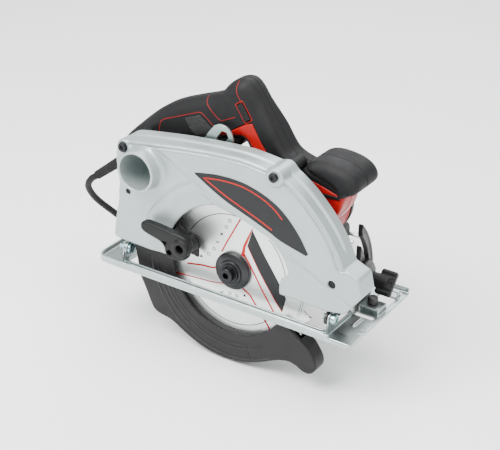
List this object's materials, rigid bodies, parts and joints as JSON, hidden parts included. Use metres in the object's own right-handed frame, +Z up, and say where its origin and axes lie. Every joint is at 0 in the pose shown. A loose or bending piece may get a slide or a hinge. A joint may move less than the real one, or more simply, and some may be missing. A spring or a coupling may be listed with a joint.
{
  "type": "circular saw",
  "caption": "Corded hand-held circular saw with cast upper guard, swinging lower guard, tilting pressed-steel sole plate, depth arc, D-handle and side motor.",
  "frame": {"origin": "underside of the sole plate, in the middle of its wide side, straight beside the blade arbor", "axes": "+X the cutting direction, +Y from the blade to the motor, +Z up from the sole"},
  "size_m": [0.3819, 0.3345, 0.2956],
  "materials": {
    "cast_silver": "satin silver paint on die-cast aluminium",
    "zinc_sheet": "zinc-plated pressed steel",
    "blue_zinc": "blue zinc plate",
    "black_steel": "black oxide or black paint",
    "dark_plastic": "fine-textured black plastic",
    "soft_grip": "matte soft-touch overmould",
    "red_plastic": "semi-gloss red plastic",
    "guard_plastic": "dark grey glass-filled plastic",
    "steel": "bright machined steel",
    "blade_steel": "ground blade steel",
    "copper": "copper",
    "rubber": "black rubber",
    "label": "dark printed label"
  },
  "bodies": {
    "shoe": {"sole_plate": "zinc_sheet", "bevel_quadrant": "black_steel", "guide_clamp_screw": "black_steel"},
    "tilt_frame": {"front_bracket": "black_steel", "depth_arc_bracket": "zinc_sheet", "front_pivot_bolt": "blue_zinc", "rear_pivot_bolt": "blue_zinc", "depth_pivot_pin": "steel", "bevel_clamp_bolt": "zinc_sheet"},
    "bevel_knob": {"bevel_knob": "dark_plastic"},
    "lower_guard": {"lower_guard": "guard_plastic", "guard_lever": "dark_plastic", "lever_screw": "black_steel"},
    "arbor": {"spindle": "steel", "drive_gear": "steel", "inner_flange": "steel", "saw_blade": "blade_steel", "outer_flange": "black_steel", "spindle_bolt": "black_steel"},
    "armature": {"armature_shaft": "steel", "armature_core": "copper", "commutator": "copper", "cooling_fan": "dark_plastic"},
    "trigger": {"trigger": "dark_plastic"},
    "lock_off_button": {"lock_off_button": "soft_grip"},
    "spindle_lock_button": {"spindle_lock_button": "red_plastic"},
    "depth_lever": {"depth_lever": "dark_plastic"},
    "saw_body": {"upper_guard": "cast_silver", "guard_label": "label", "guard_screw_rear": "black_steel", "guard_screw_front": "black_steel", "gear_housing": "dark_plastic", "bearing_plate": "steel", "spindle_bearing_front": "steel", "spindle_bearing_rear": "steel", "armature_bearing_front": "steel", "armature_bearing_rear": "steel", "motor_housing": "red_plastic", "field_stator": "steel", "brush_holder_upper": "copper", "brush_holder_lower": "copper", "brush_cap_upper": "dark_plastic", "brush_cap_lower": "dark_plastic", "motor_end_cap": "dark_plastic", "cap_screw_1": "steel", "cap_screw_2": "steel", "handle_shell_left": "soft_grip", "handle_shell_right": "soft_grip", "front_grip": "soft_grip", "switch_body": "dark_plastic", "strain_relief": "rubber", "power_cord": "rubber", "cord_coil": "rubber", "cord_tail": "rubber", "plug": "rubber", "handle_screw_1": "black_steel", "handle_screw_2": "black_steel", "handle_screw_3": "black_steel", "depth_clamp_bolt": "zinc_sheet", "guard_spring": "steel"}
  },
  "joints": [
    {"name": "bevel_tilt", "type": "hinge", "parent": "shoe", "child": "tilt_frame", "pos_m": [0, -0.081, 0.018], "axis": [1, 0, 0], "range_deg": [0, 45]},
    {"name": "bevel_knob_turn", "type": "hinge", "parent": "tilt_frame", "child": "bevel_knob", "pos_m": [0.134, 0.00479, 0.024], "axis": [1, 0, 0], "range_deg": [0, 120]},
    {"name": "cutting_depth", "type": "hinge", "parent": "tilt_frame", "child": "saw_body", "pos_m": [0.1186, -0.055, 0.0578], "axis": [0, 1, 0], "range_deg": [0, 30]},
    {"name": "guard_swing", "type": "hinge", "parent": "saw_body", "child": "lower_guard", "pos_m": [0, -0.072, 0.0292], "axis": [0, 1, 0], "range_deg": [0, 110], "stiffness_Nm_per_rad": 0.25, "springref_deg": -40.11},
    {"name": "arbor_spin", "type": "hinge", "parent": "saw_body", "child": "arbor", "pos_m": [0, -0.072, 0.0292], "axis": [0, 1, 0], "continuous": true},
    {"name": "armature_spin", "type": "hinge", "parent": "saw_body", "child": "armature", "pos_m": [0.011, -0.012, 0.0571], "axis": [0, 1, 0], "continuous": true},
    {"name": "trigger_pull", "type": "hinge", "parent": "saw_body", "child": "trigger", "pos_m": [-0.024, -0.027, 0.161], "axis": [0, 1, 0], "range_deg": [0, 8], "stiffness_Nm_per_rad": 0.8, "springref_deg": -6.88},
    {"name": "lock_off_press", "type": "slide", "parent": "saw_body", "child": "lock_off_button", "axis": [0, 1, 0], "range_m": [0, 0.003], "stiffness_N_per_m": 250, "springref_m": -0.002},
    {"name": "spindle_lock_press", "type": "slide", "parent": "saw_body", "child": "spindle_lock_button", "axis": [0.9981, 0, -0.0614], "range_m": [0, 0.0024], "stiffness_N_per_m": 300, "springref_m": -0.002},
    {"name": "depth_lever_swing", "type": "hinge", "parent": "saw_body", "child": "depth_lever", "pos_m": [-0.064, -0.046, 0.0578], "axis": [0, -1, 0], "range_deg": [0, 40]}
  ],
  "couplings": [
    {"joint": "armature_spin", "follows": "arbor_spin", "ratio": -4}
  ]
}
